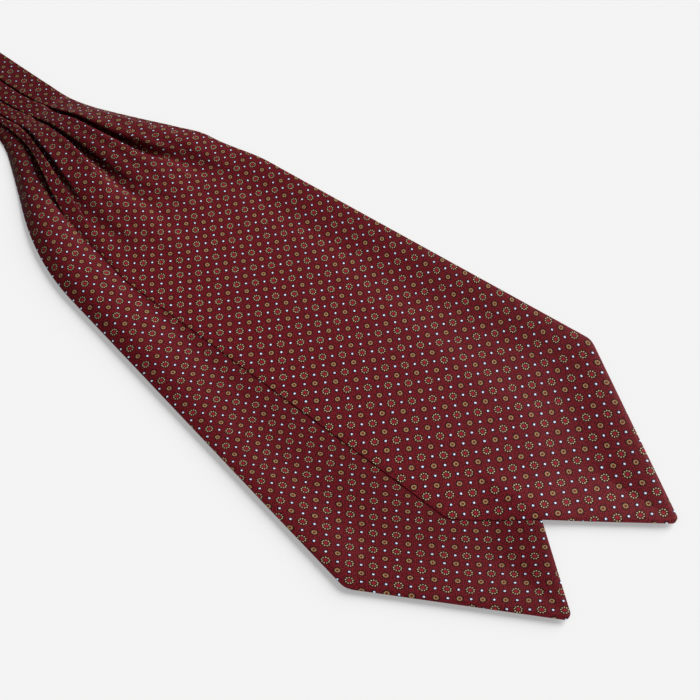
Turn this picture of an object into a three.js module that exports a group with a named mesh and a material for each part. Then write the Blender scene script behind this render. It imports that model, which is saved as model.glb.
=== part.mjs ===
// A silk day cravat laid on a table. Two pointed blades fan out, the front one over the back one,
// from a pleated neckband that is folded in half. Millimetres, +X towards the points, +Z up.
import * as THREE from "three";

// Cloth, and the space left between pieces that touch
const CLOTH = 1.4;
const GAP = 0.3;
const EDGE_ROUNDING = 0.5;
const SILK = { color: "#5c1620", roughness: 0.55, metalness: 0 };

// The cut of a blade, flat, along its own axis from the end of the stitched pleats
const BLADE = {
  length: 500,
  pointLength: 99,
  releaseHalf: 61,
  cornerHalf: 75,
  cornerSoftness: 3,
  pointRadius: 4,
};

// The pleated neckband: how far each half runs from the pleats' release to the fold
const BAND = {
  halfLength: 180,
  width: 46.5,
  thickness: 3,
  pleatStep: 0.8,
  pleatSlope: 0.6,
  foldGap: 2.6,
  foldLiftLength: 45,
};

// Widths of the band's strips between fold edges, from its far side (+Y) to its near side (-Y)
const STRIPS = [
  { name: "far strip", width: 15 },
  { name: "second strip", width: 15 },
  { name: "third strip", width: 10.5 },
  { name: "near strip", width: 6 },
];

// Where each blade starts on the table, how far it is turned, and how its folds open and fade
const FRONT = {
  start: { x: -290, y: 10.2 },
  turn: 1.9,
  widthShare: 1,
  bandShift: 0,
  openFrom: 4,
  openTo: 118,
  peakAt: 34,
  liftAtRelease: BAND.thickness + GAP,
  liftFrom: 20,
  liftFadeBy: 170,
};
const BACK = {
  start: { x: -302, y: -4.2 },
  turn: -6,
  widthShare: 0.965,
  bandShift: 6.8,
  openFrom: 6,
  openTo: 116,
  peakAt: 70,
};

// One row for each fold line of the front blade, from its far edge to its near edge. share is its
// place in the flat width, gathered its distance from the band's far edge where the pleats end,
// the two heights are those of the cloth where the pleats end and where the folds are deepest, and
// fadeBy is the distance from the pleats' end at which the fold has gone.
const FRONT_FOLDS = [
  { name: "far edge", share: 0, gathered: 0, atRelease: 0.4, atPeak: 1.6, fadeBy: 120 },
  { name: "far strip's crest", share: 0.123, gathered: 12.4, atRelease: 1.7, atPeak: 4.4, fadeBy: 140 },
  { name: "valley A", share: 0.23, gathered: 15, atRelease: 0.1, atPeak: 0.8, fadeBy: 130 },
  { name: "ridge 1, far side", share: 0.335, gathered: 17.6, atRelease: 1.8, atPeak: 7.2, fadeBy: 155 },
  { name: "ridge 1, near side", share: 0.45, gathered: 27.4, atRelease: 1.7, atPeak: 6.2, fadeBy: 150 },
  { name: "valley B", share: 0.549, gathered: 30, atRelease: 0.1, atPeak: 0.8, fadeBy: 135 },
  { name: "ridge 2, far side", share: 0.651, gathered: 32.6, atRelease: 1.8, atPeak: 7, fadeBy: 165 },
  { name: "ridge 2, near side", share: 0.741, gathered: 38, atRelease: 1.7, atPeak: 6.6, fadeBy: 150 },
  { name: "valley C", share: 0.842, gathered: 40.5, atRelease: 0.1, atPeak: 0.9, fadeBy: 120 },
  { name: "ridge 3", share: 0.915, gathered: 43, atRelease: 1.4, atPeak: 4.4, fadeBy: 130 },
  { name: "near edge", share: 1, gathered: 46.5, atRelease: 0.4, atPeak: 2.6, fadeBy: 120 },
];

// The back blade's folds lie low under the front blade, and show in one long hump beside it
const BACK_FOLDS = [
  { name: "far edge", share: 0, gathered: 0, atRelease: 0, atPeak: 0, fadeBy: 100 },
  { name: "hidden ridge 1", share: 0.14, gathered: 7.5, atRelease: 1.1, atPeak: 0.5, fadeBy: 140 },
  { name: "hidden valley 1", share: 0.27, gathered: 14, atRelease: 0, atPeak: 0, fadeBy: 140 },
  { name: "hidden ridge 2", share: 0.4, gathered: 21, atRelease: 1.1, atPeak: 0.5, fadeBy: 140 },
  { name: "hidden valley 2", share: 0.53, gathered: 27.5, atRelease: 0, atPeak: 0, fadeBy: 140 },
  { name: "hidden ridge 3", share: 0.63, gathered: 33, atRelease: 1.1, atPeak: 0.4, fadeBy: 140 },
  { name: "valley under the front edge", share: 0.73, gathered: 38, atRelease: 0, atPeak: 0, fadeBy: 200 },
  { name: "hump, far side", share: 0.82, gathered: 41, atRelease: 1, atPeak: 3.2, fadeBy: 330 },
  { name: "hump, near side", share: 0.92, gathered: 44, atRelease: 1, atPeak: 3.4, fadeBy: 330 },
  { name: "near edge", share: 1, gathered: 46.5, atRelease: 0.2, atPeak: 0, fadeBy: 200 },
];

// Where the sections lie along a blade: close in the pleats, at the corners and at the point
const CORNER = BLADE.length - BLADE.pointLength;
const STATIONS = [
  ...[0, 6, 12, 20, 28, 36, 46, 56, 68, 80, 94, 108, 124, 142, 164],
  ...evenly(188, CORNER - 18, 9),
  ...[CORNER - 7, CORNER - 3, CORNER, CORNER + 3, CORNER + 7],
  ...evenly(CORNER + 18, BLADE.length - 12, 7),
  ...[6, 2.6, 1.6, 0.7, 0.15].map((beforePoint) => BLADE.length - beforePoint),
];
const STEPS_PER_FOLD = 3;

// How far the front blade runs past the back blade's edge before it lies on the table
const DRAPE_START = 3;
const DRAPE_LENGTH = 17;

function evenly(from, to, count) {
  return Array.from({ length: count }, (_, i) => from + ((to - from) * i) / (count - 1));
}

function softMinimum(a, b, softness) {
  const blend = Math.max(softness - Math.abs(a - b), 0) / softness;
  return Math.min(a, b) - (blend * blend * softness) / 4;
}

// Half of the flat width at a station, with rounded corners and a rounded point
function flatHalfWidth(station) {
  const { length, pointLength, releaseHalf, cornerHalf, cornerSoftness, pointRadius } = BLADE;
  const halfAngle = Math.atan2(cornerHalf, pointLength);
  const sharpEnd = length + pointRadius / Math.sin(halfAngle) - pointRadius;
  const roundFrom = length - pointRadius + pointRadius * Math.sin(halfAngle);
  if (station > roundFrom) {
    const fromCentre = station - (length - pointRadius);
    return Math.sqrt(Math.max(pointRadius ** 2 - fromCentre ** 2, 0));
  }
  const side = THREE.MathUtils.lerp(releaseHalf, cornerHalf, station / CORNER);
  const point = (cornerHalf * (sharpEnd - station)) / (sharpEnd - CORNER);
  return softMinimum(side, point, cornerSoftness);
}

// A blade's own frame: a point on the table from its distance along and across its axis
function onTable(blade, along, across) {
  const angle = THREE.MathUtils.degToRad(blade.turn);
  return {
    x: blade.start.x + along * Math.cos(angle) - across * Math.sin(angle),
    y: blade.start.y + along * Math.sin(angle) + across * Math.cos(angle),
  };
}

function inBladeFrame(blade, x, y) {
  const angle = THREE.MathUtils.degToRad(blade.turn);
  const dx = x - blade.start.x;
  const dy = y - blade.start.y;
  return {
    along: dx * Math.cos(angle) + dy * Math.sin(angle),
    across: dy * Math.cos(angle) - dx * Math.sin(angle),
  };
}

// 0 where the pleats are still stitched, 1 where the blade has its whole width
function openness(blade, station) {
  const ramp = (station - blade.openFrom) / (blade.openTo - blade.openFrom);
  const clamped = THREE.MathUtils.clamp(ramp, 0, 1);
  const soft = clamped * clamped * (3 - 2 * clamped);
  return THREE.MathUtils.lerp(clamped, soft, 0.45);
}

function foldHeight(blade, fold, station) {
  const { smoothstep, lerp } = THREE.MathUtils;
  const rising = lerp(fold.atRelease, fold.atPeak, smoothstep(station, 0, blade.peakAt));
  return rising * (1 - smoothstep(station, blade.peakAt, fold.fadeBy));
}

// How far the point lies outside the back blade, negative inside it
function beyondBackBlade(x, y) {
  const { along, across } = inBladeFrame(BACK, x, y);
  const sideHalf = THREE.MathUtils.lerp(BLADE.releaseHalf, BLADE.cornerHalf, along / CORNER);
  const side = Math.abs(across) - BACK.widthShare * sideHalf;
  const slant = Math.atan2(BLADE.cornerHalf, BLADE.pointLength);
  const point =
    (along - BLADE.length) * Math.sin(slant) + Math.abs(across) * Math.cos(slant);
  return Math.max(side, point);
}

// What the front blade lies on: the back band, then the back blade, then the table
function frontRest(station, x, y) {
  const { smoothstep, lerp } = THREE.MathUtils;
  const offBack = smoothstep(beyondBackBlade(x, y), DRAPE_START, DRAPE_START + DRAPE_LENGTH);
  const settled = (CLOTH + GAP) * (1 - offBack);
  const lift = 1 - smoothstep(station, FRONT.liftFrom, FRONT.liftFadeBy);
  return lerp(settled, FRONT.liftAtRelease, lift);
}

const tableRest = () => 0;

// The cloth's middle line across a blade at one station, as points across and above the table
function sectionLine(blade, folds, restHeight, station) {
  const half = blade.widthShare * flatHalfWidth(station);
  const open = openness(blade, station);
  const knots = folds.map((fold) => {
    const gathered = blade.bandShift + BAND.width / 2 - fold.gathered;
    const spread = half * (1 - 2 * fold.share);
    const across = THREE.MathUtils.lerp(gathered, spread, open);
    const place = onTable(blade, station, across);
    const rest = restHeight(station, place.x, place.y);
    return new THREE.Vector3(across, rest + foldHeight(blade, fold, station), 0);
  });
  const curve = new THREE.CatmullRomCurve3(knots, false, "centripetal");
  const steps = (folds.length - 1) * STEPS_PER_FOLD;
  return evenly(0, 1, steps + 1).map((share) => {
    const point = curve.getPoint(share);
    const place = onTable(blade, station, point.x);
    return point.setY(Math.max(point.y, restHeight(station, place.x, place.y)));
  });
}

// Thickens a middle line into matching upper and lower lines that meet at two rounded edges
function thicken(line) {
  const upper = [];
  const lower = [];
  const last = line.length - 1;
  line.forEach((point, i) => {
    const before = line[Math.max(i - 1, 0)];
    const after = line[Math.min(i + 1, last)];
    const along = new THREE.Vector3().subVectors(after, before).normalize();
    const normal = new THREE.Vector3(-along.y, along.x, 0).multiplyScalar(-CLOTH / 2);
    const middle = point.clone().setY(point.y + CLOTH / 2);
    upper.push(middle.clone().add(normal));
    lower.push(middle.clone().sub(normal));
    if (i === 0 || i === last) {
      const outward = along.clone().multiplyScalar(i === 0 ? -EDGE_ROUNDING : EDGE_ROUNDING);
      const edge = middle.add(outward);
      if (i === 0) {
        upper.unshift(edge);
        lower.unshift(edge);
      } else {
        upper.push(edge);
        lower.push(edge);
      }
    }
  });
  return { upper, lower };
}

// One closed wall from sections whose upper and lower lines share their first and last points
function wallGeometry(sections) {
  const positions = [];
  const indices = [];
  const count = sections[0].upper.length;
  const ringSize = 2 * count - 2;
  for (const { upper, lower } of sections) {
    const ring = [...upper, ...lower.slice(1, -1).reverse()];
    ring.forEach((point) => positions.push(point.x, point.y, point.z));
  }
  for (let row = 0; row < sections.length - 1; row++) {
    for (let i = 0; i < ringSize; i++) {
      const a = row * ringSize + i;
      const b = row * ringSize + ((i + 1) % ringSize);
      indices.push(a, b, b + ringSize, a, b + ringSize, a + ringSize);
    }
  }
  const under = (i) => (i === 0 || i === count - 1 ? i : ringSize - i);
  for (let i = 0; i < count - 1; i++) {
    const quad = [i, i + 1, under(i + 1), under(i)];
    const end = (sections.length - 1) * ringSize;
    if (i < count - 2) {
      indices.push(quad[0], quad[2], quad[1]);
      indices.push(end + quad[0], end + quad[1], end + quad[2]);
    }
    if (i > 0) {
      indices.push(quad[0], quad[3], quad[2]);
      indices.push(end + quad[0], end + quad[2], end + quad[3]);
    }
  }
  const geometry = new THREE.BufferGeometry();
  geometry.setAttribute("position", new THREE.Float32BufferAttribute(positions, 3));
  geometry.setIndex(indices);
  geometry.computeVertexNormals();
  return geometry;
}

function bladeGeometry(blade, folds, restHeight) {
  const sections = STATIONS.map((station) => {
    const { upper, lower } = thicken(sectionLine(blade, folds, restHeight, station));
    const place = (point) => {
      const table = onTable(blade, station, point.x);
      return new THREE.Vector3(table.x, table.y, point.y);
    };
    return { upper: upper.map(place), lower: lower.map(place) };
  });
  return wallGeometry(sections);
}

// The band's section: each strip rises to its fold edge and steps down on to the next strip.
// relief runs from 1, full pleat steps, to 0, a plain strap.
function bandProfile(relief) {
  const upper = [];
  const lower = [];
  let across = BAND.width / 2;
  const add = (height) => {
    upper.push({ across, height });
    lower.push({ across, height: 0 });
  };
  const edge = (side) => {
    const point = { across: side * (BAND.width / 2 + EDGE_ROUNDING), height: BAND.thickness / 2 };
    upper.push(point);
    lower.push(point);
  };
  edge(1);
  STRIPS.forEach((strip, i) => {
    const low = BAND.thickness - relief * BAND.pleatStep;
    add(i === 0 ? low - relief * BAND.pleatSlope : low);
    across -= strip.width - GAP;
    add(BAND.thickness);
    across -= GAP;
  });
  edge(-1);
  return { upper, lower };
}

// Where the two halves of the neckband meet: the middle of the fold, and how far it bulges
const FOLD = {
  x: FRONT.start.x - BAND.halfLength,
  y: FRONT.start.y,
  gap: BAND.foldGap,
};

// How far the front half of the band is held off the back half by the bulge of the fold
function foldLift(x) {
  return FOLD.gap * (1 - THREE.MathUtils.smoothstep(x, FOLD.x, FOLD.x + BAND.foldLiftLength));
}

// One half of the band, from the fold to the end of its pleats, where it turns with its blade
function bandGeometry(blade, restHeight) {
  const rows = 12;
  const { lerp, degToRad } = THREE.MathUtils;
  const { upper, lower } = bandProfile(1);
  const end = onTable(blade, -GAP, blade.bandShift);
  const sections = evenly(0, 1, rows).map((share) => {
    const x = lerp(FOLD.x, end.x, share);
    const y = lerp(FOLD.y, end.y, share);
    const angle = degToRad(blade.turn) * share ** 3;
    const place = (point) =>
      new THREE.Vector3(
        x - point.across * Math.sin(angle),
        y + point.across * Math.cos(angle),
        restHeight(x) + point.height,
      );
    return { upper: upper.map(place), lower: lower.map(place) };
  });
  return wallGeometry(sections);
}

// The fold turns the band over through half a circle, from the back half up to the front half
function foldGeometry() {
  const turns = 12;
  const inner = (GAP + FOLD.gap) / 2;
  const centreHeight = BAND.thickness + inner;
  const sections = evenly(-90, 90, turns).map((degrees) => {
    const angle = THREE.MathUtils.degToRad(degrees);
    const { upper, lower } = bandProfile((degrees + 90) / 180);
    const place = (point) => {
      const radius = inner + point.height;
      const x = FOLD.x - GAP - radius * Math.cos(angle);
      return new THREE.Vector3(x, FOLD.y + point.across, centreHeight + radius * Math.sin(angle));
    };
    return { upper: upper.map(place), lower: lower.map(place) };
  });
  return wallGeometry(sections);
}

function silkMesh(name, geometry) {
  const mesh = new THREE.Mesh(geometry, new THREE.MeshStandardMaterial(SILK));
  mesh.name = name;
  return mesh;
}

const cloth = new THREE.Group();
cloth.add(
  silkMesh("back_blade", bladeGeometry(BACK, BACK_FOLDS, tableRest)),
  silkMesh("front_blade", bladeGeometry(FRONT, FRONT_FOLDS, frontRest)),
  silkMesh("back_neckband", bandGeometry(BACK, tableRest)),
  silkMesh("front_neckband", bandGeometry(FRONT, (x) => BAND.thickness + GAP + foldLift(x))),
  silkMesh("neckband_fold", foldGeometry()),
);

// The origin is on the table, under the middle of the whole cravat
const extent = new THREE.Box3().setFromObject(cloth);
const middle = extent.getCenter(new THREE.Vector3());
cloth.position.set(-middle.x, -middle.y, -extent.min.z);

const cravat = new THREE.Group();
cravat.add(cloth);

export default cravat;
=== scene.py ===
"""A silk day cravat laid flat: two pointed blades fanned out from a pleated neckband folded in half."""

import math

import bpy
import numpy as np
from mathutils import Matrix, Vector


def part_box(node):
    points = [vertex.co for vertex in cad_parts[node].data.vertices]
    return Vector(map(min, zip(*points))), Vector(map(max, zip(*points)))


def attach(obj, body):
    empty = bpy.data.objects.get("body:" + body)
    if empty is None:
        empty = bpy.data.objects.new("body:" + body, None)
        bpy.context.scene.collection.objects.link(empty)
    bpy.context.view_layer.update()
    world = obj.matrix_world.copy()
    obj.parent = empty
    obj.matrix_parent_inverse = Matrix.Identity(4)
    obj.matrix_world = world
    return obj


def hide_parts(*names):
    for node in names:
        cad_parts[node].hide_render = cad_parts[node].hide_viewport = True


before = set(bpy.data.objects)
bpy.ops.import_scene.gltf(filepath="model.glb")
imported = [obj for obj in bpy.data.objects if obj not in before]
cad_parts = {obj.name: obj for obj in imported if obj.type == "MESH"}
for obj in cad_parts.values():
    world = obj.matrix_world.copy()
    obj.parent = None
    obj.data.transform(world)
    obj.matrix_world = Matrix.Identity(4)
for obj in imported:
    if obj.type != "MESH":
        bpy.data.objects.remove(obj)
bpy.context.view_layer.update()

MM = 0.001

# Silk: the thickness of one finished layer, and the air left between layers, in millimetres
SILK = 0.45
AIR = 0.08

# At its edges a layer thins to this share of its thickness, over this width, and ends in a narrow rim
EDGE_SHARE = 0.55
EDGE_TAPER = 3
RIM = 0.3

# The edges of the two blades' common outline hover a little above the table, up to this far inside it,
# and only where the blades have left the band
EDGE_HOVER = 2.6
HOVER_REACH = 34
HOVER_STATIONS = (20, 110)

# The cut of a blade, flat, along its own axis from the end of the stitched pleats
BLADE_LENGTH = 500
POINT_LENGTH = 99
CORNER = BLADE_LENGTH - POINT_LENGTH
RELEASE_HALF = 61
CORNER_HALF = 75
CORNER_SOFTNESS = 3
POINT_RADIUS = 4

# The pleated neckband, how far its two halves are held apart where it is folded, and the cloth's length
# round the fold
BAND_WIDTH = 46.5
BAND_LENGTH = 180
BAND_THICKNESS = 3
FOLD_GAP = 2.6
FOLD_LIFT_LENGTH = 45

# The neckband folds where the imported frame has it, whose solid ends a small gap short of the fold's
# axis; both blades are placed from that axis
SOLID_GAP = 0.3
fold_low, fold_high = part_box("neckband_fold")
FOLD_X = fold_high[0] / MM + SOLID_GAP
FOLD_Y = (fold_low[1] + fold_high[1]) / (2 * MM)

# Each blade: where its pleats end, which way it runs, its width against the cut, how far its band lies
# aside at the fold, the stations between which it opens, and how far its point leans to one side
FRONT = {
    "start": (FOLD_X + BAND_LENGTH, FOLD_Y),
    "turn": math.radians(1.9),
    "width_share": 1.0,
    "band_shift": 0.0,
    "open_from": 7.6,
    "open_to": 113,
    "point_lean": 0.0,
}
BACK = {
    "start": (FOLD_X + 168, FOLD_Y - 14.4),
    "turn": math.radians(-6),
    "width_share": 0.965,
    "band_shift": 6.8,
    "open_from": 9,
    "open_to": 112,
    "point_lean": 0.1,
}
POINT_LEAN_STATIONS = (330, 400)

# Fold lines across a blade, from the far edge to the near edge: their place in the flat width, their
# places across the blade at the place stations, their heights at the height stations, and the mesh
# columns up to the next line. Past the last place station a line eases into an even fan, and a line
# with one place only runs into that fan from the pleats' end.
PLACE_STATIONS = (-50, -20, 0, 10, 20, 38, 58, 80, 105)
HEIGHT_STATIONS = (-24, -5, 4, 12, 22, 38, 58, 80, 105, 135, 200, 330)
EASE_FROM = 85
EASE_BY = 150
FRONT_FOLDS = (
    (
        "far edge",
        0,
        (24.4, 24.6, 25, 26.4, 28.8, 34.8, 42, 50.4, 58.2),
        (0.9, 0.9, 0.9, 0.9, 0.9, 0.9, 0.8, 0.5, 0.2),
        6,
    ),
    (
        "far strip",
        0.07,
        (15, 15.6, 17.2, 18.4, 20.8, 25, 30.2, 38, 47.6),
        (1.5, 1.8, 2.4, 3.2, 3.8, 4.2, 4.3, 3.8, 2.2, 0.6),
        6,
    ),
    (
        "pleat A, edge",
        0.145,
        (5.4, 6.4, 9.4, 10.4, 13, 15.2, 18.4, 25.6, 37),
        (2, 2, 3.4, 5, 5.8, 6.4, 5.8, 4.3, 2, 0.4),
        3,
    ),
    (
        "pleat A, under",
        0.157,
        (6.4, 7.4, 10.6, 12, 14.6, 16.6, 19.2, 24, 34),
        (1.3, 1.9, 1.8, 2.8, 3.4, 4, 3.8, 2.7, 1.2, 0.3),
        5,
    ),
    (
        "pleat A, tuck",
        0.21,
        (13, 14, 17.2, 18.8, 21.2, 22.2, 21.6, 22, 30.4),
        (1, 1.1, 1, 1.1, 1.2, 1.2, 0.8, 0.4, 0.2),
        3,
    ),
    (
        "pleat A, foot",
        0.216,
        (12.6, 13.6, 17, 18.4, 20.8, 21.4, 20, 19.8, 28),
        (0.1, 0.8, 0.2, 0.3, 0.4, 0.4, 0.3, 0.2, 0.1),
        7,
    ),
    (
        "ridge 1, back",
        0.3,
        (4.8, 5.8, 8.4, 8.8, 11.2, 12.2, 14.6, 17.6, 25.6),
        (0.6, 1.9, 1, 1.4, 1.9, 2.4, 2.8, 2.6, 1.5, 0.3),
        4,
    ),
    (
        "ridge 1, crest",
        0.328,
        (3.8, 4.8, 7.4, 7.6, 9.8, 10.6, 12.2, 15.2, 22.8),
        (1.75, 2.1, 2.5, 4.2, 5.2, 6.6, 6.9, 5.5, 2.6, 0.5),
        5,
    ),
    (
        "ridge 1, middle",
        0.385,
        (-2.6, -1.2, 1.6, 2, 3, 3.4, 3.8, 5.2, 10.2),
        (2, 2.2, 3.2, 5, 5.8, 6.8, 6.9, 5.5, 2.7, 0.5),
        5,
    ),
    (
        "pleat B, edge",
        0.44,
        (-9, -7, -4.2, -3.4, -3.6, -4, -4.8, -4.8, -2.4),
        (2, 2, 3.4, 5, 5.8, 6.4, 5.8, 4.2, 2.1, 0.4),
        3,
    ),
    (
        "pleat B, under",
        0.452,
        (-8, -6, -3, -2, -2, -2.4, -4.2, -6.2, -5.6),
        (1.3, 1.9, 1.8, 2.8, 3.4, 4, 3.9, 2.6, 1.3, 0.3),
        5,
    ),
    (
        "pleat B, tuck",
        0.495,
        (-2, 0.2, 3, 4.4, 4.4, 3.2, -2.2, -8.8, -10),
        (1, 1.1, 1, 1.1, 1.2, 1.3, 1.2, 1.4, 0.8, 0.2),
        3,
    ),
    (
        "pleat B, foot",
        0.502,
        (-2.4, -0.2, 2.6, 4, 3.8, 2.4, -3.6, -10.8, -12.4),
        (0.1, 0.8, 0.2, 0.3, 0.4, 0.5, 0.7, 1.1, 0.6, 0.1),
        7,
    ),
    (
        "ridge 2, back",
        0.62,
        (-9.6, -7.6, -5.2, -4.4, -5.2, -6.8, -10.2, -15.2, -20.4),
        (0.6, 1.9, 1, 1.4, 1.9, 2.4, 2.9, 3.4, 2.2, 0.7),
        4,
    ),
    (
        "ridge 2, crest",
        0.66,
        (-10.6, -8.6, -6.2, -5.6, -6.6, -8.4, -13.2, -19.6, -26),
        (1.75, 2.1, 2.5, 4.2, 5.4, 5.8, 6.1, 5.4, 3.1, 1.2),
        5,
    ),
    (
        "ridge 2, middle",
        0.73,
        (-14.4, -13, -11, -11.6, -13.6, -17, -22.6, -28.4, -33.2),
        (2, 2.2, 3.2, 5, 5.8, 5.8, 5.9, 5.1, 2.9, 1),
        5,
    ),
    (
        "pleat C, edge",
        0.79,
        (-18.2, -17.4, -15.8, -17.6, -20.6, -25.6, -32, -37.6, -40.4),
        (2, 2, 3.4, 5, 5.8, 6.4, 5.8, 4.2, 2.1, 0.5),
        3,
    ),
    (
        "pleat C, under",
        0.8,
        (-17.2, -16.4, -14.6, -16, -19, -24, -31.2, -39, -43.6),
        (1.3, 1.9, 1.8, 2.8, 3.4, 4.2, 4.4, 3.3, 1.5, 0.3),
        5,
    ),
    (
        "pleat C, tuck",
        0.845,
        (-12.6, -11.6, -9.2, -10, -12.8, -18.4, -30.4, -41.6, -45.6),
        (1, 1.1, 1, 1.1, 1.2, 1.8, 2.8, 2.2, 0.9, 0.2),
        3,
    ),
    (
        "pleat C, foot",
        0.852,
        (-13, -12, -9.6, -10.6, -13.2, -19.2, -32, -43.6, -48),
        (0.1, 0.8, 0.2, 0.3, 0.4, 1.1, 2.3, 1.9, 0.7, 0.1),
        6,
    ),
    (
        "ridge 3, back",
        0.915,
        (-18.8, -18.2, -17.2, -19, -22, -28.4, -35.6, -43.2, -50.2),
        (0.6, 1.7, 0.8, 1, 1.4, 2.2, 2.6, 2, 0.9, 0.1),
        3,
    ),
    (
        "ridge 3",
        0.93,
        (-19.6, -19, -18, -20, -23.2, -29.8, -36.8, -44, -51),
        (1.9, 2, 2.4, 3, 3.6, 4.8, 3.7, 2.4, 1.1, 0.2),
        5,
    ),
    (
        "near edge",
        1,
        (-23.2, -22.8, -23.4, -25.2, -28.2, -36, -45.2, -53.6, -58.8),
        (1.4, 1.5, 1.7, 2, 2.6, 4.3, 2.8, 0.6, 0.1),
        0,
    ),
)
BACK_FOLDS = (
    ("far edge", 0, (30,), (0,), 4),
    ("hidden ridge 1", 0.14, (22.5,), (1.1, 1.1, 1.1, 1, 0.9, 0.7, 0.5, 0.4, 0.2), 4),
    ("hidden valley 1", 0.27, (16,), (0,), 4),
    ("hidden ridge 2", 0.4, (9,), (1.1, 1.1, 1.1, 1, 0.9, 0.7, 0.5, 0.4, 0.2), 4),
    ("hidden valley 2", 0.53, (2.5,), (0,), 4),
    ("hidden ridge 3", 0.63, (-3,), (1.1, 1.1, 1.1, 1, 0.9, 0.7, 0.5, 0.4, 0.2), 4),
    ("valley under the front edge", 0.73, (-2,), (0.8, 0.8, 0.8, 0.6, 0.3), 8),
    ("hump, far side", 0.82, (-7,), (2.4, 2.4, 2.4, 2.5, 2.6, 2.9, 3.2, 3.2, 3.1, 2.9, 2.2), 8),
    ("hump, near side", 0.92, (-13,), (2.3, 2.3, 2.3, 2.5, 2.8, 3.2, 3.4, 3.4, 3.3, 3.1, 2.4), 8),
    ("near edge", 1, (-16.5,), (0.8, 0.8, 0.7, 0.5, 0.3, 0.1), 0),
)

# Low creases between the main folds of the front, and for each wave of them how close it runs, how it
# slants, where it starts and its share of the height
RIPPLE_HEIGHT = 0.22
RIPPLE_RISE = (12, 45)
RIPPLE_FADE = (80, 190)
RIPPLE_WAVES = ((23, 0.03, 0, 1), (37, -0.02, 2, 0.7))

# The cut is shared out by the folds' own places near the pleats, and evenly further on
EVEN_CUT_FROM = 45
EVEN_CUT_BY = 100

# The front blade leaves the back band's top for the back blade, sooner on its near side, and then
# drapes off the back blade to the table
LIFT_FROM = 20
LIFT_FADE_BY = 170
NEAR_LIFT_FADE_BY = 95
NEAR_SIDE = (-0.6, 0.1)
DRAPE_START = 3
DRAPE_LENGTH = 17

# The print: a square lattice turned by 45 degrees to the blade's axis, with a large rosette at every
# second crossing each way, a small one between those, and white dots at the other crossings
CELL = 6.2
PRINT_SCALE_AT_PLEATS = 0.86
PRINT_SCALE_AT_POINT = 1.045
PRINT_SCALE_CURVE = 0.7
PRINT_ORIGIN = {"front": (492.2, 0.0), "back": (482.8, -1.5)}

# How the print drifts from the cut, as the share of each millimetre of cloth that it gains, and the
# stations between which each drift sets in or fades. On the front its cross rows slant and bow; on the
# back they lean, the print lies closer both ways, and its rows along the blade turn.
ROWS_SLANT = 0.075
ROWS_BOW = 0.00105
ROWS_BOW_IN = (40, 160)
ROWS_BOW_OUT = (380, 480)
ROWS_LEAN = -0.3
ROWS_LEAN_IN = (190, 360)
ROWS_LEAN_LOST = 0.35
ROWS_LEAN_OUT = (390, 460)
CLOSER_ALONG = 0.15
CLOSER_ALONG_IN = (300, 400)
CLOSER_ACROSS = 0.2
CLOSER_ACROSS_IN = (235, 330)
STILL_ROW = -60
ROWS_TURN = -0.12
ROWS_TURN_IN = (330, 410)


def smoothstep(value, low, high):
    share = np.clip((value - low) / (high - low), 0, 1)
    return share * share * (3 - 2 * share)


def lerp(a, b, share):
    return a + (b - a) * share


def flat_half_width(station):
    """Half of the cut's width at each station, with rounded corners and a rounded point."""
    slant = math.atan2(CORNER_HALF, POINT_LENGTH)
    sharp_end = BLADE_LENGTH + POINT_RADIUS / math.sin(slant) - POINT_RADIUS
    side = lerp(RELEASE_HALF, CORNER_HALF, station / CORNER)
    point = CORNER_HALF * (sharp_end - station) / (sharp_end - CORNER)
    blend = np.maximum(CORNER_SOFTNESS - abs(side - point), 0) / CORNER_SOFTNESS
    straight = np.minimum(side, point) - blend * blend * CORNER_SOFTNESS / 4
    from_centre = station - (BLADE_LENGTH - POINT_RADIUS)
    rounded = np.sqrt(np.maximum(POINT_RADIUS**2 - from_centre**2, 0))
    return np.where(from_centre > POINT_RADIUS * math.sin(slant), rounded, straight)


def on_table(blade, along, across):
    """Table coordinates of a point given along and across a blade's axis."""
    cosine, sine = math.cos(blade["turn"]), math.sin(blade["turn"])
    x, y = blade["start"]
    return x + along * cosine - across * sine, y + along * sine + across * cosine


def softly_below(value, limit, softness):
    """The value, bent softly so that it never passes the limit."""
    blend = np.maximum(softness - abs(value - limit), 0) / softness
    return np.minimum(value, limit) - blend * blend * softness / 4


def openness(blade, station):
    """0 where the pleats are still stitched, 1 where the blade has its whole width."""
    ramp = (station - blade["open_from"]) / (blade["open_to"] - blade["open_from"])
    opened = -softly_below(-ramp, limit=0, softness=0.15)
    return softly_below(opened, limit=1, softness=0.4)


def outside(blade, x, y):
    """How far a point lies outside a blade's cut, negative inside it."""
    cosine, sine = math.cos(blade["turn"]), math.sin(blade["turn"])
    dx, dy = x - blade["start"][0], y - blade["start"][1]
    along, across = dx * cosine + dy * sine, dy * cosine - dx * sine
    half = blade["width_share"] * lerp(RELEASE_HALF, CORNER_HALF, along / CORNER)
    open_share = openness(blade, np.maximum(along, 0))
    side = abs(across) - lerp(BAND_WIDTH / 2, half, open_share)
    slant = math.atan2(CORNER_HALF, POINT_LENGTH)
    point = (along - BLADE_LENGTH) * math.sin(slant) + abs(across) * math.cos(slant)
    return np.maximum(side, point)


def hover(station, x, y):
    """The edges of the two blades' common outline hover a little above the table."""
    inside = -np.minimum(outside(FRONT, x, y), outside(BACK, x, y))
    near_edge = 1 - smoothstep(inside, 0, HOVER_REACH)
    return EDGE_HOVER * near_edge * smoothstep(station, *HOVER_STATIONS)


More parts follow.
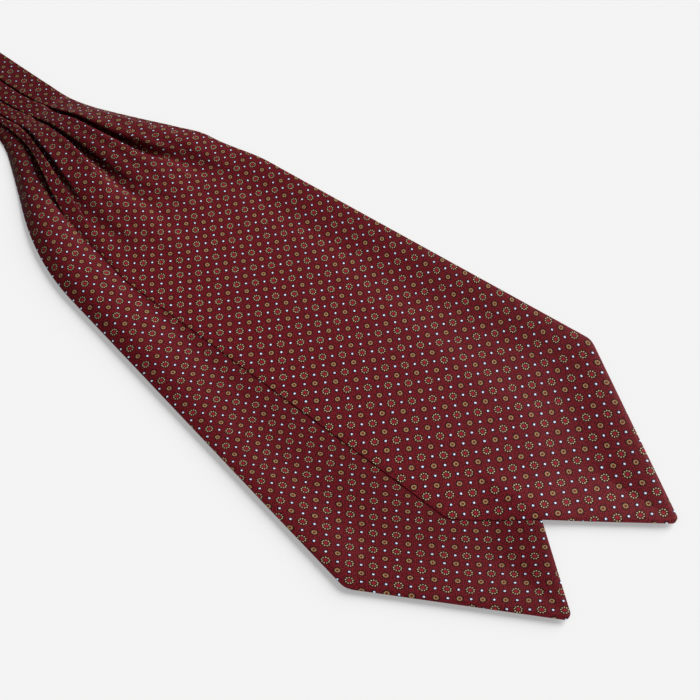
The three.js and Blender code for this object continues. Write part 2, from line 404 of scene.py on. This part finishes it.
def front_rest(station, x, y):
    """The height the front blade lies at: on the back band, then the back blade, then the table."""
    off_back = smoothstep(outside(BACK, x, y), DRAPE_START, DRAPE_START + DRAPE_LENGTH)
    settled = (SILK + AIR) * (1 - off_back)
    across = (y - FRONT["start"][1]) / CORNER_HALF
    fade_by = lerp(NEAR_LIFT_FADE_BY, LIFT_FADE_BY, smoothstep(across, *NEAR_SIDE))
    lift = 1 - smoothstep(station, LIFT_FROM, fade_by)
    return lerp(settled, BAND_THICKNESS + AIR, lift) + hover(station, x, y)


def back_rest(station, x, y):
    """The back blade lies on the table."""
    return hover(station, x, y)


def no_rest(station, x, y):
    """The neckband's own heights are added when it is placed."""
    return np.zeros_like(x)


def through(knots, columns):
    """Centripetal Catmull-Rom curve through each row of knots, sampled with the columns asked for."""
    first = 2 * knots[:, :1] - knots[:, 1:2]
    last = 2 * knots[:, -1:] - knots[:, -2:-1]
    padded = np.concatenate([first, knots, last], axis=1)
    gaps = np.sqrt(np.linalg.norm(np.diff(padded, axis=1), axis=2)) + 1e-4
    pieces = []
    for i, count in enumerate(columns):
        p0, p1, p2, p3 = (padded[:, i + k] for k in range(4))
        d0, d1, d2 = (gaps[:, i + k, None] for k in range(3))
        leave = ((p1 - p0) / d0 - (p2 - p0) / (d0 + d1) + (p2 - p1) / d1) * d1
        arrive = ((p2 - p1) / d1 - (p3 - p1) / (d1 + d2) + (p3 - p2) / d2) * d1
        for step in range(count):
            t = step / count
            pieces.append(
                (2 * t**3 - 3 * t**2 + 1) * p1
                + (t**3 - 2 * t**2 + t) * leave
                + (3 * t**2 - 2 * t**3) * p2
                + (t**3 - t**2) * arrive
            )
    pieces.append(knots[:, -1])
    return np.stack(pieces, axis=1)


def smooth_through(stations, places, values):
    """A smooth curve through the values at the given places, level beyond its two ends."""
    places, values = np.array(places, float), np.array(values, float)
    slopes = np.gradient(values, places)
    slopes[[0, -1]] = 0
    stations = np.clip(stations, places[0], places[-1])
    i = np.clip(np.searchsorted(places, stations, side="right") - 1, 0, len(places) - 2)
    width = places[i + 1] - places[i]
    t = (stations - places[i]) / width
    return (
        (2 * t**3 - 3 * t**2 + 1) * values[i]
        + (t**3 - 2 * t**2 + t) * width * slopes[i]
        + (3 * t**2 - 2 * t**3) * values[i + 1]
        + (t**3 - t**2) * width * slopes[i + 1]
    )


def heights_along(stations, heights):
    """A fold line's height at each station, down to nothing past the heights it lists."""
    full = tuple(heights) + (0,) * (len(HEIGHT_STATIONS) - len(heights))
    return smooth_through(stations, HEIGHT_STATIONS, full)


def places_along(stations, places, flat_at, open_share):
    """How far across the blade a fold line runs at each station."""
    fan = lerp(places[0], flat_at, open_share)
    if len(places) == 1:
        return fan
    eased = smoothstep(stations, EASE_FROM, EASE_BY)
    return lerp(smooth_through(stations, PLACE_STATIONS, places), fan, eased)


def ripples(stations, across):
    """Low uneven creases between the main folds, fanning out from the pleats and soon dying away."""
    fan = across / across[:, :1]
    s = stations[:, None]
    rise = smoothstep(s, *RIPPLE_RISE) * (1 - smoothstep(s, *RIPPLE_FADE))
    waves = sum(
        part * np.sin(closeness * fan + slant * s + start)
        for closeness, slant, start, part in RIPPLE_WAVES
    )
    return RIPPLE_HEIGHT * rise * waves


def blade_lines(blade, folds, rest_height, stations):
    """Middle lines across a blade at each station, and the cut coordinates of their points."""
    half = blade["width_share"] * flat_half_width(np.maximum(stations, 0))
    open_share = openness(blade, stations)
    knots = []
    for _, share, places, heights, _ in folds:
        across = places_along(stations, places, half * (1 - 2 * share), open_share)
        x, y = on_table(blade, stations, across)
        lifted = heights_along(stations, heights) + rest_height(stations, x, y)
        knots.append(np.stack([across, lifted], axis=1))
    columns = [fold[-1] for fold in folds[:-1]]
    line = through(np.stack(knots, axis=1), columns)
    s = stations[:, None]
    x, y = on_table(blade, s, line[..., 0])
    if blade is FRONT:
        line[..., 1] += ripples(stations, line[..., 0])
    line[..., 1] = np.maximum(line[..., 1], rest_height(s, x, y))
    if blade is BACK:
        # Its near side shows, so its cut is measured from its near edge
        return rimmed(line, line_lengths(line[:, ::-1])[:, ::-1] - half[:, None])
    cut_at_folds = half[:, None] * (1 - 2 * np.array([fold[1] for fold in folds]))
    return rimmed(line, shared_cut(line, cut_at_folds, columns, stations))


def rimmed(line, cut):
    """The line and its cut with one more point just inside each edge, so that the edges stay crisp."""
    values = np.concatenate([line, cut[..., None]], axis=2)
    first, last = (
        lerp(values[:, edge], values[:, inner], RIM / np.maximum(length, 2 * RIM)[:, None])
        for edge, inner, length in (
            (0, 1, np.linalg.norm(line[:, 1] - line[:, 0], axis=1)),
            (-1, -2, np.linalg.norm(line[:, -1] - line[:, -2], axis=1)),
        )
    )
    values = np.concatenate(
        [values[:, :1], first[:, None], values[:, 1:-1], last[:, None], values[:, -1:]], axis=1
    )
    return values[..., :2], values[..., 2]


def line_lengths(line):
    """True length along each line, from its first point."""
    steps = np.linalg.norm(np.diff(line, axis=1), axis=2)
    return np.concatenate([np.zeros((len(line), 1)), np.cumsum(steps, axis=1)], axis=1)


def shared_cut(line, cut_at_folds, columns, stations):
    """Cut coordinates along each line, by true length between the folds and then along the whole."""
    steps = np.linalg.norm(np.diff(line, axis=1), axis=2)
    by_fold = np.empty(line.shape[:2])
    start = 0
    for i, count in enumerate(columns):
        part = np.cumsum(steps[:, start : start + count], axis=1)
        share = part / np.maximum(part[:, -1:], 1e-6)
        low, high = cut_at_folds[:, i : i + 1], cut_at_folds[:, i + 1 : i + 2]
        by_fold[:, start : start + 1] = low
        by_fold[:, start + 1 : start + count + 1] = lerp(low, high, share)
        start += count
    length = line_lengths(line)
    share = length / np.maximum(length[:, -1:], 1e-6)
    evenly_cut = lerp(cut_at_folds[:, :1], cut_at_folds[:, -1:], share)
    return lerp(by_fold, evenly_cut, smoothstep(stations, EVEN_CUT_FROM, EVEN_CUT_BY)[:, None])


def print_scale(station):
    """How large the print is drawn: a little larger towards the point than in the pleats."""
    share = np.clip(station / BLADE_LENGTH, 0, 1) ** PRINT_SCALE_CURVE
    return lerp(PRINT_SCALE_AT_PLEATS, PRINT_SCALE_AT_POINT, share)


def printed_length():
    """Stations along a blade, and the length of print from each of them to the point."""
    stations = np.arange(-BAND_LENGTH - 20.0, BLADE_LENGTH + 1)
    steps = 1 / print_scale(stations)
    from_band = np.cumsum(steps)
    return stations, from_band[-1] - from_band


def grown(station, start, end):
    """A length that starts to grow at one station and grows in full from another."""
    share = np.clip((station - start) / (end - start), 0, 1)
    return (end - start) * (share**3 - share**4 / 2) + np.maximum(station - end, 0)


def print_drift(blade, stations, cut):
    """How far the print runs ahead of the cut along and across, as its rows bow and lean in the photo."""
    if blade is FRONT:
        reach = smoothstep(stations, *ROWS_BOW_IN) * (1 - smoothstep(stations, *ROWS_BOW_OUT))
        return reach * (ROWS_SLANT * cut + ROWS_BOW * cut**2), np.zeros_like(cut)
    lean = ROWS_LEAN * smoothstep(stations, *ROWS_LEAN_IN)
    lean *= 1 - ROWS_LEAN_LOST * smoothstep(stations, *ROWS_LEAN_OUT)
    along = lean * cut + CLOSER_ALONG * grown(stations, *CLOSER_ALONG_IN)
    closer = CLOSER_ACROSS * smoothstep(stations, *CLOSER_ACROSS_IN)
    return along, closer * (cut - STILL_ROW) + ROWS_TURN * grown(stations, *ROWS_TURN_IN)


def wall_faces(rows, count):
    """The faces of a closed wall: its two sides with their edges, and the strips that close its ends."""
    size = 2 * count
    row, column = np.meshgrid(np.arange(rows - 1), np.arange(size), indexing="ij")
    here, following = row * size + column, row * size + (column + 1) % size
    sides = np.stack([here, following, following + size, here + size], axis=-1).reshape(-1, 4)
    top, under = np.arange(count - 1), size - 1 - np.arange(count - 1)
    caps = [
        np.stack([top, under, under - 1, top + 1], axis=-1),
        np.stack([top + 1, under - 1, under, top], axis=-1) + (rows - 1) * size,
    ]
    return sides, np.concatenate(caps)


def closed_wall(name, blade, upper, lower, cut, stations):
    """A closed thin wall from matching grids of upper and lower points, with its cut as a UV map."""
    points = np.concatenate([upper, lower[:, ::-1]], axis=1).reshape(-1, 3)
    sides, caps = wall_faces(*cut.shape)
    faces = np.concatenate([sides, caps])
    mesh = bpy.data.meshes.new(name)
    mesh.from_pydata((points * MM).tolist(), [], faces[:, ::-1].tolist())
    ring_cut = np.concatenate([cut, cut[:, ::-1]], axis=1)
    ahead, aside = print_drift(blade, stations[:, None], ring_cut)
    along = (BLADE_LENGTH - np.interp(stations, *printed_length()))[:, None] + ahead
    across = ring_cut / print_scale(stations)[:, None] + aside
    printed = np.stack([along, across], axis=2).reshape(-1, 2) * MM
    corners = np.array([loop.vertex_index for loop in mesh.loops])
    layer = mesh.uv_layers.new(name="cut")
    layer.data.foreach_set("uv", printed[corners].astype(np.float32).reshape(-1))
    mesh.polygons.foreach_set("use_smooth", [True] * len(sides) + [False] * len(caps))
    mesh.update()
    piece = bpy.data.objects.new(name, mesh)
    bpy.context.collection.objects.link(piece)
    return piece


def thickened(line):
    """Upper and lower lines either side of a middle line, closing on each other at its edges."""
    along = np.gradient(line, axis=1)
    along /= np.linalg.norm(along, axis=2, keepdims=True) + 1e-9
    normal = np.stack([along[..., 1], -along[..., 0]], axis=2)
    length = line_lengths(line)
    from_edge = np.minimum(length, length[:, -1:] - length)
    thickness = SILK * lerp(EDGE_SHARE, 1, smoothstep(from_edge, 0, EDGE_TAPER))[..., None]
    middle = line + thickness * np.array([0, 0.5])
    return middle + normal * thickness / 2, middle - normal * thickness / 2


def placed(blade, stations, line):
    """A blade's lines on the table, with its point leaning a little to one side."""
    lean = blade["point_lean"] * smoothstep(stations, *POINT_LEAN_STATIONS)
    along = stations[:, None] - lean[:, None] * line[..., 0]
    x, y = on_table(blade, along, line[..., 0])
    return np.stack([x, y, line[..., 1]], axis=2)


def blade_piece(name, blade, folds, rest_height, stations):
    line, cut = blade_lines(blade, folds, rest_height, stations)
    upper, lower = thickened(line)
    upper, lower = placed(blade, stations, upper), placed(blade, stations, lower)
    return closed_wall(name, blade, upper, lower, cut, stations)


def band_piece(name, blade, folds, height_at, stations):
    """Half of the neckband: the pleated section carried from the fold to the blade's start."""
    line, cut = blade_lines(blade, folds, no_rest, stations)
    upper, lower = thickened(line)
    share = (stations / BAND_LENGTH + 1)[:, None]
    end_x, end_y = on_table(blade, 0, 0)
    x = lerp(FOLD_X, end_x, share)
    y = lerp(FOLD_Y - blade["band_shift"] * (1 - share) ** 2, end_y, share)
    angle = blade["turn"] * share**3
    lift = height_at(x)

    def place(section):
        return np.stack(
            [
                x - section[..., 0] * np.sin(angle),
                y + section[..., 0] * np.cos(angle),
                section[..., 1] + lift,
            ],
            axis=2,
        )

    return closed_wall(name, blade, place(upper), place(lower), cut, stations)


def evenly(low, high, step):
    """Even stations about one step apart, from low up to the last one before high."""
    return np.linspace(low, high, max(int(round((high - low) / step)), 1) + 1)[:-1]


# Where the rows of mesh lie: close together in the folds, at the corners and at the point of a blade,
# and then along the neckband and round its fold
blade_stations = np.concatenate(
    [
        evenly(0, 12, 1.0),
        evenly(12, 130, 1.6),
        evenly(130, 190, 3.0),
        evenly(190, CORNER - 8, 7.0),
        evenly(CORNER - 8, CORNER + 8, 1.0),
        evenly(CORNER + 8, BLADE_LENGTH - 8, 6.0),
        BLADE_LENGTH - np.array([8, 6, 4.5, 3.2, 2.2, 1.4, 0.8, 0.4, 0.15, 0.04]),
    ]
)
band_stations = np.append(evenly(-BAND_LENGTH, 0, 6.0), 0)
fold_stations = np.arange(-BAND_LENGTH - 12.0, -BAND_LENGTH + 1)


def fold_lift(x):
    return FOLD_GAP * (1 - smoothstep(x, FOLD_X, FOLD_X + FOLD_LIFT_LENGTH))


def front_band_height(x):
    return BAND_THICKNESS + AIR + fold_lift(x)


def back_band_height(x):
    return np.zeros_like(x)


def fold_piece(name, stations):
    """The neckband turned over through half a circle, its pleats fading towards the back half."""
    line, cut = blade_lines(FRONT, FRONT_FOLDS, no_rest, np.array([-BAND_LENGTH]))
    angles = np.linspace(-math.pi / 2, math.pi / 2, len(stations))[:, None]
    relief = ((angles / math.pi) + 0.5)[..., None]
    flat_line = np.stack([line[..., 0], np.ones_like(line[..., 1])], axis=2)
    line = lerp(flat_line, np.repeat(line, len(stations), axis=0), relief)
    cut = np.repeat(cut, len(stations), axis=0)
    upper, lower = thickened(line)
    inner = (AIR + FOLD_GAP) / 2
    centre = BAND_THICKNESS + inner

    def place(section):
        radius = inner + section[..., 1]
        return np.stack(
            [
                FOLD_X - radius * np.cos(angles),
                FOLD_Y + section[..., 0],
                centre + radius * np.sin(angles),
            ],
            axis=2,
        )

    return closed_wall(name, FRONT, place(upper), place(lower), cut, stations)


pieces = {
    "back_blade": blade_piece("back_blade_silk", BACK, BACK_FOLDS, back_rest, blade_stations),
    "front_blade": blade_piece("front_blade_silk", FRONT, FRONT_FOLDS, front_rest, blade_stations),
    "back_neckband": band_piece(
        "back_neckband_silk", BACK, BACK_FOLDS, back_band_height, band_stations
    ),
    "front_neckband": band_piece(
        "front_neckband_silk", FRONT, FRONT_FOLDS, front_band_height, band_stations
    ),
    "neckband_fold": fold_piece("neckband_fold_silk", fold_stations),
}


class Nodes:
    """Short calls for building a material's node tree."""

    def __init__(self, material):
        self.tree = material.node_tree

    def new(self, kind, **settings):
        node = self.tree.nodes.new(kind)
        for key, value in settings.items():
            setattr(node, key, value)
        return node

    def feed(self, socket, value):
        if isinstance(value, bpy.types.NodeSocket):
            self.tree.links.new(value, socket)
        else:
            socket.default_value = value

    def math(self, operation, *values):
        node = self.new("ShaderNodeMath", operation=operation)
        for socket, value in zip(node.inputs, values):
            self.feed(socket, value)
        return node.outputs[0]

    def vector(self, operation, *values, output=0):
        """A vector operation: output 0 is a vector, and output 1 a number."""
        node = self.new("ShaderNodeVectorMath", operation=operation)
        for socket, value in zip(node.inputs, values):
            self.feed(socket, value)
        return node.outputs[output]

    def scaled(self, vector, factor):
        node = self.new("ShaderNodeVectorMath", operation="SCALE")
        self.feed(node.inputs[0], vector)
        self.feed(node.inputs["Scale"], factor)
        return node.outputs[0]

    def ramp(self, *settings):
        """A smooth ramp, from a value, its two ends and the results at them."""
        node = self.new("ShaderNodeMapRange", interpolation_type="SMOOTHSTEP")
        for socket, setting in zip(node.inputs, settings):
            self.feed(socket, setting)
        return node.outputs[0]

    def within(self, distance, radius, softness):
        """1 inside the radius, 0 outside it."""
        return self.ramp(distance, radius + softness / 2, radius - softness / 2, 0.0, 1.0)

    def noise(self, vector, scale, detail):
        node = self.new("ShaderNodeTexNoise", noise_dimensions="2D")
        self.feed(node.inputs["Vector"], vector)
        self.feed(node.inputs["Scale"], scale)
        self.feed(node.inputs["Detail"], detail)
        return node

    def mix(self, share, a, b):
        """One colour mixed into another: sockets 6 and 7 are the node's colours, and output 2 the mix."""
        node = self.new("ShaderNodeMix", data_type="RGBA")
        self.feed(node.inputs[0], share)
        self.feed(node.inputs[6], a)
        self.feed(node.inputs[7], b)
        return node.outputs[2]

    def split(self, vector):
        node = self.new("ShaderNodeSeparateXYZ")
        self.feed(node.inputs[0], vector)
        return node.outputs[0], node.outputs[1]


# The colours of the silk and its print
GROUND = (0.106, 0.0064, 0.0100)
OUTLINE = (0.0030, 0.0025, 0.0045, 1)
CREAM = (0.50, 0.41, 0.22, 1)
KHAKI = (0.30, 0.20, 0.085, 1)
RED = (0.20, 0.010, 0.018, 1)
CENTRE_MARK = (0.30, 0.014, 0.035, 1)
WHITE = (0.66, 0.78, 0.92, 1)
NAVY = (0.0025, 0.004, 0.016, 1)

# Painted shade: the silk's colour is darkened in the neckband and the pleats, and reaches its full colour
# further along the blade; in metres along the cut
PAINTED_PLEAT_SHADE = 0.6
PAINTED_PLEAT_SHADE_REACH = (-0.04, 0.18)
# Painted shade: the back blade's silk is drawn darker than the front's, as a shaded copy of the same
# material
PAINTED_SIDE_SHADE = {"front": 1.0, "back": 0.85}

# How far the print wanders from its lattice in millimetres, how strongly the ground's colour and the
# ribs of the twill vary, and how dull the silk is
PRINT_WANDER = 0.3
GRAIN_RANGE = 0.55
GRAIN_CONTRAST = 5.0
RIB_CONTRAST = 0.5
RIB_GLOSS = 0.08
ROUGHNESS = 0.5


def polar(nodes, offset):
    """Distance and angle of an offset from a motif's centre."""
    x, y = nodes.split(offset)
    return nodes.vector("LENGTH", offset, output=1), nodes.math("ARCTAN2", y, x)


def bead_distance(nodes, distance, angle, count, ring_radius):
    """Distance to the nearest of a ring of beads."""
    turn = nodes.math("MULTIPLY", angle, count / (2 * math.pi))
    around = nodes.math("SUBTRACT", nodes.math("FRACT", turn), 0.5)
    sideways = nodes.math("MULTIPLY", around, 2 * math.pi * ring_radius / count)
    outward = nodes.math("SUBTRACT", distance, ring_radius)
    squares = nodes.math(
        "ADD", nodes.math("POWER", sideways, 2.0), nodes.math("POWER", outward, 2.0)
    )
    return nodes.math("SQRT", squares)


def large_rosette(nodes, colour, offset):
    """A ring of cream beads around a red heart with a few brighter marks, on a dark disc."""
    distance, angle = polar(nodes, offset)
    colour = nodes.mix(nodes.within(distance, radius=2.8, softness=0.3), colour, OUTLINE)
    beads = bead_distance(nodes, distance, angle, count=9, ring_radius=2.0)
    colour = nodes.mix(nodes.within(beads, radius=0.38, softness=0.16), colour, CREAM)
    colour = nodes.mix(nodes.within(distance, radius=1.25, softness=0.25), colour, RED)
    marks = bead_distance(nodes, distance, angle, count=5, ring_radius=0.5)
    return nodes.mix(nodes.within(marks, radius=0.2, softness=0.2), colour, CENTRE_MARK)


def small_rosette(nodes, colour, offset):
    """Tan petals around a dark eye with a red centre, on a dark star."""
    distance, angle = polar(nodes, offset)
    spikes = bead_distance(nodes, distance, angle, count=8, ring_radius=1.7)
    colour = nodes.mix(nodes.within(spikes, radius=0.6, softness=0.3), colour, OUTLINE)
    petals = bead_distance(nodes, distance, angle, count=8, ring_radius=1.08)
    colour = nodes.mix(nodes.within(petals, radius=0.44, softness=0.16), colour, KHAKI)
    colour = nodes.mix(nodes.within(distance, radius=0.5, softness=0.2), colour, OUTLINE)
    return nodes.mix(nodes.within(distance, radius=0.28, softness=0.2), colour, CENTRE_MARK)


def white_dot(nodes, colour, offset):
    """A white dot on a dark one that lies a little off its centre."""
    rim_offset = nodes.vector("ADD", offset, (0.1, 0.14, 0))
    rim = nodes.vector("LENGTH", rim_offset, output=1)
    colour = nodes.mix(nodes.within(rim, radius=1.2, softness=0.3), colour, NAVY)
    centre = nodes.vector("LENGTH", offset, output=1)
    return nodes.mix(nodes.within(centre, radius=0.62, softness=0.2), colour, WHITE)


def ground_colour(nodes, place):
    """The dark red of the silk, in a fine uneven grain."""
    shade = nodes.noise(place, scale=1.3, detail=1.0)
    darker, lighter = (
        tuple(level * channel for channel in GROUND) + (1,)
        for level in (1 - GRAIN_RANGE, 1 + GRAIN_RANGE)
    )
    share = nodes.math("MULTIPLY_ADD", shade.outputs["Fac"], GRAIN_CONTRAST, 0.5 - GRAIN_CONTRAST / 2)
    return nodes.mix(share, darker, lighter)


def printed_colour(nodes, place):
    """The printed silk: two sizes of rosette and dots on the crossings of a lattice at 45 degrees."""
    lattice = nodes.new("ShaderNodeVectorRotate", rotation_type="Z_AXIS")
    nodes.feed(lattice.inputs["Vector"], place)
    lattice.inputs["Angle"].default_value = math.radians(45)
    on_lattice = lattice.outputs[0]
    shifted = nodes.vector("ADD", on_lattice, (CELL, CELL, 0))
    large, small = (
        nodes.vector("WRAP", spot, (CELL, CELL, 1), (-CELL, -CELL, -1)) for spot in (on_lattice, shifted)
    )
    half_dots = CELL / math.sqrt(2)
    dots = nodes.vector("ADD", place, (half_dots, half_dots, 0))
    dot = nodes.vector("WRAP", dots, (half_dots, half_dots, 1), (-half_dots, -half_dots, -1))
    colour = ground_colour(nodes, place)
    for motif, offset in ((large_rosette, large), (small_rosette, small), (white_dot, dot)):
        colour = motif(nodes, colour, offset)
    return colour


def twill(nodes, place):
    """The fine slanting ribs of the weave."""
    weave = nodes.new("ShaderNodeTexWave", wave_type="BANDS", bands_direction="DIAGONAL")
    nodes.feed(weave.inputs["Vector"], place)
    weave.inputs["Scale"].default_value = 0.42
    weave.inputs["Distortion"].default_value = 2.5
    weave.inputs["Detail"].default_value = 2.0
    weave.inputs["Detail Scale"].default_value = 2.0
    return weave.outputs["Fac"]


def silk_material(name, origin, painted_side_shade):
    material = bpy.data.materials.new(name)
    material.use_nodes = True
    nodes = Nodes(material)
    shader = material.node_tree.nodes["Principled BSDF"]
    cut = nodes.new("ShaderNodeUVMap", uv_map="cut").outputs[0]
    place = nodes.vector("MULTIPLY_ADD", cut, (1 / MM, 1 / MM, 0), (-origin[0], -origin[1], 0))
    wander = nodes.noise(place, scale=0.35, detail=1.0).outputs["Color"]
    reach = (PRINT_WANDER, PRINT_WANDER, 0)
    half_back = (-PRINT_WANDER / 2, -PRINT_WANDER / 2, 0)
    place = nodes.vector("ADD", place, nodes.vector("MULTIPLY_ADD", wander, reach, half_back))

    ribs = twill(nodes, place)
    station, _ = nodes.split(cut)
    # Painted shade: the whole printed colour darkens in the neckband and the pleats
    painted_pleat_shade = nodes.ramp(station, *PAINTED_PLEAT_SHADE_REACH, PAINTED_PLEAT_SHADE * painted_side_shade, painted_side_shade)
    shade = nodes.math("MULTIPLY_ADD", ribs, RIB_CONTRAST, 1 - RIB_CONTRAST / 2)
    shade = nodes.math("MULTIPLY", shade, painted_pleat_shade)
    nodes.feed(shader.inputs["Base Color"], nodes.scaled(printed_colour(nodes, place), shade))

    bump = nodes.new("ShaderNodeBump")
    bump.inputs["Strength"].default_value = 0.3
    bump.inputs["Distance"].default_value = 0.00006
    nodes.feed(bump.inputs["Height"], ribs)
    nodes.feed(shader.inputs["Normal"], bump.outputs[0])
    nodes.feed(shader.inputs["Roughness"], nodes.math("MULTIPLY_ADD", ribs, -RIB_GLOSS, ROUGHNESS))
    shader.inputs["Specular IOR Level"].default_value = 0.16
    shader.inputs["Specular Tint"].default_value = (1.0, 0.3, 0.32, 1)
    shader.inputs["Sheen Weight"].default_value = 0.02
    shader.inputs["Sheen Roughness"].default_value = 0.35
    shader.inputs["Sheen Tint"].default_value = (0.9, 0.35, 0.38, 1)
    return material


# Painted shade: the back blade gets a darker copy of the front's silk
silk = {
    side: silk_material(f"printed_silk_{side}", PRINT_ORIGIN[side], PAINTED_SIDE_SHADE[side])
    for side in PRINT_ORIGIN
}

for node, piece in pieces.items():
    piece.data.materials.append(silk["back" if node.startswith("back") else "front"])
    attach(piece, "root")
    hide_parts(node)

# The studio: a wide pale floor that glows a little, even light all round, and a soft key that shines
# from the far side
FLOOR_REACH = 40.0
FLOOR_GREY = (0.52, 0.52, 0.52, 1)
FLOOR_GLOW = 0.33
EVEN_LIGHT = 0.21
KEY_STRENGTH = 5.4
KEY_SOFTNESS = math.radians(48)
TOWARDS_KEY = np.array([0.25, 1.0, 0.62])

# The photograph's camera: the point on the table that it looks at, its distance from it, its angles and
# its lens
PHOTO_CENTRE = (FOLD_X + 470, FOLD_Y - 10.2)
PHOTO_DISTANCE = 0.66512
PHOTO_AZIMUTH = math.radians(40)
PHOTO_ELEVATION = math.radians(56)
PHOTO_LENS = 56.54
PHOTO_SENSOR = 36


def studio():
    """A plain pale floor under even light, with a wide soft key from the far side."""
    floor_mesh = bpy.data.meshes.new("floor")
    side = FLOOR_REACH
    corners = [(-side, -side, 0), (side, -side, 0), (side, side, 0), (-side, side, 0)]
    floor_mesh.from_pydata(corners, [], [(0, 1, 2, 3)])
    floor = bpy.data.objects.new("floor", floor_mesh)
    bpy.context.collection.objects.link(floor)
    material = bpy.data.materials.new("pale_floor")
    material.use_nodes = True
    shader = material.node_tree.nodes["Principled BSDF"]
    shader.inputs["Base Color"].default_value = FLOOR_GREY
    shader.inputs["Emission Color"].default_value = (1, 1, 1, 1)
    shader.inputs["Emission Strength"].default_value = FLOOR_GLOW
    shader.inputs["Roughness"].default_value = 0.9
    shader.inputs["Specular IOR Level"].default_value = 0.0
    floor_mesh.materials.append(material)

    world = bpy.data.worlds.new("studio")
    world.use_nodes = True
    background = world.node_tree.nodes["Background"]
    background.inputs["Color"].default_value = (1, 1, 1, 1)
    background.inputs["Strength"].default_value = EVEN_LIGHT
    bpy.context.scene.world = world

    key = bpy.data.lights.new("key", "SUN")
    key.energy = KEY_STRENGTH
    key.angle = KEY_SOFTNESS
    lamp = bpy.data.objects.new("key", key)
    towards = TOWARDS_KEY / np.linalg.norm(TOWARDS_KEY)
    lamp.rotation_euler = (math.acos(towards[2]), 0, math.atan2(towards[0], -towards[1]))
    bpy.context.collection.objects.link(lamp)


def camera():
    """The photograph's camera, round to the right of the front and high above the table."""
    lens = bpy.data.cameras.new("camera")
    lens.lens = PHOTO_LENS
    lens.sensor_width = PHOTO_SENSOR
    eye = bpy.data.objects.new("camera", lens)
    level = PHOTO_DISTANCE * math.cos(PHOTO_ELEVATION)
    eye.location = (
        PHOTO_CENTRE[0] * MM + level * math.sin(PHOTO_AZIMUTH),
        PHOTO_CENTRE[1] * MM - level * math.cos(PHOTO_AZIMUTH),
        PHOTO_DISTANCE * math.sin(PHOTO_ELEVATION),
    )
    eye.rotation_euler = (math.pi / 2 - PHOTO_ELEVATION, 0, PHOTO_AZIMUTH)
    bpy.context.collection.objects.link(eye)
    bpy.context.scene.camera = eye


studio()
camera()
bpy.context.scene.view_settings.view_transform = "Standard"
